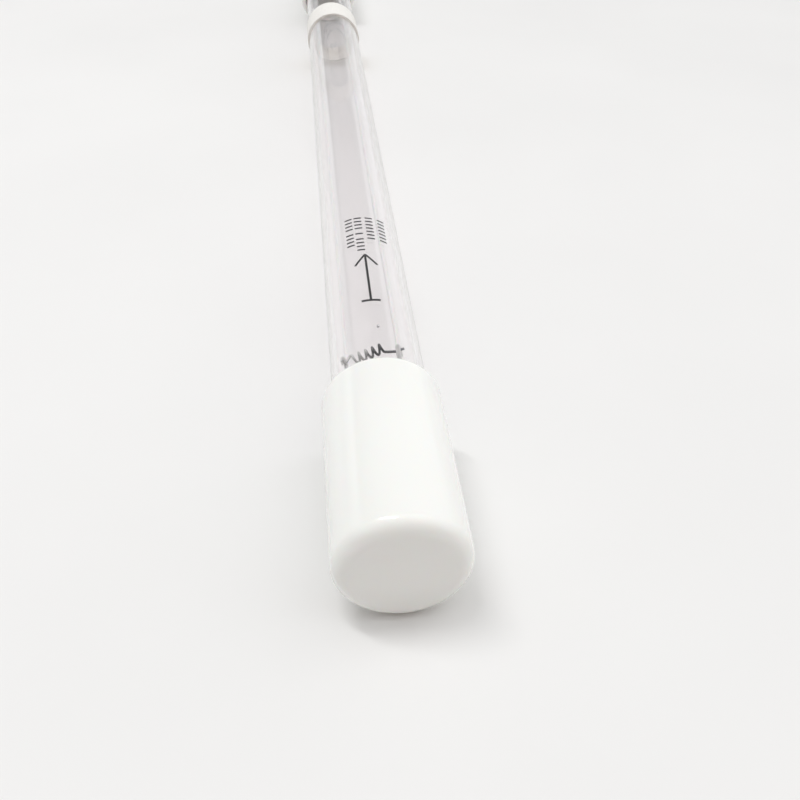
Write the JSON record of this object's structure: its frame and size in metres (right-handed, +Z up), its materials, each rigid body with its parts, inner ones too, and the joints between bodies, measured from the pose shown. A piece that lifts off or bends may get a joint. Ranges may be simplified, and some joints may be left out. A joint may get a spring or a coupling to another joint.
{
  "type": "ultraviolet clarifier lamp",
  "caption": "Straight clear quartz ultraviolet lamp for a pond clarifier, with a plain ceramic cap and a ceramic pin base.",
  "frame": {"origin": "centre of the bounding box on the surface the lamp lies on", "axes": "+Y along the lamp from the plain cap to the contact pins, +Z up from the surface it lies on, +X to the right seen from the plain cap"},
  "size_m": [0.0184, 0.2944, 0.0184],
  "materials": {
    "quartz": "clear fused quartz",
    "glazed_ceramic": "glossy white glaze",
    "basing_cement": "matte basing cement",
    "nickel_iron": "drawn nickel-plated iron wire",
    "tungsten": "dark coated tungsten coil",
    "molybdenum": "dull molybdenum",
    "nickel_plate": "nickel-plated brass",
    "sleeving": "white insulating sleeving",
    "band": "pale heat-resistant binding",
    "mercury": "liquid metal"
  },
  "bodies": {
    "root": {"base_cement": "basing_cement", "base_filament": "tungsten", "base_foil_left": "molybdenum", "base_foil_right": "molybdenum", "base_outer_lead_left": "molybdenum", "base_outer_lead_right": "molybdenum", "base_post_left": "nickel_iron", "base_post_right": "nickel_iron", "cap_cement": "basing_cement", "cap_filament": "tungsten", "cap_foil_left": "molybdenum", "cap_foil_right": "molybdenum", "cap_outer_lead_left": "molybdenum", "cap_outer_lead_right": "molybdenum", "cap_post_left": "nickel_iron", "cap_post_right": "nickel_iron", "contact_pin_lower_left": "nickel_plate", "contact_pin_lower_right": "nickel_plate", "contact_pin_upper_left": "nickel_plate", "contact_pin_upper_right": "nickel_plate", "lead_ferrule_left": "nickel_iron", "lead_ferrule_right": "nickel_iron", "mercury_drop": "mercury", "pin_base": "glazed_ceramic", "plain_cap": "glazed_ceramic", "quartz_tube": "quartz", "return_wire_left": "nickel_iron", "return_wire_right": "nickel_iron", "wire_band": "band", "wire_sleeve_left": "sleeving", "wire_sleeve_right": "sleeving"}
  },
  "joints": []
}
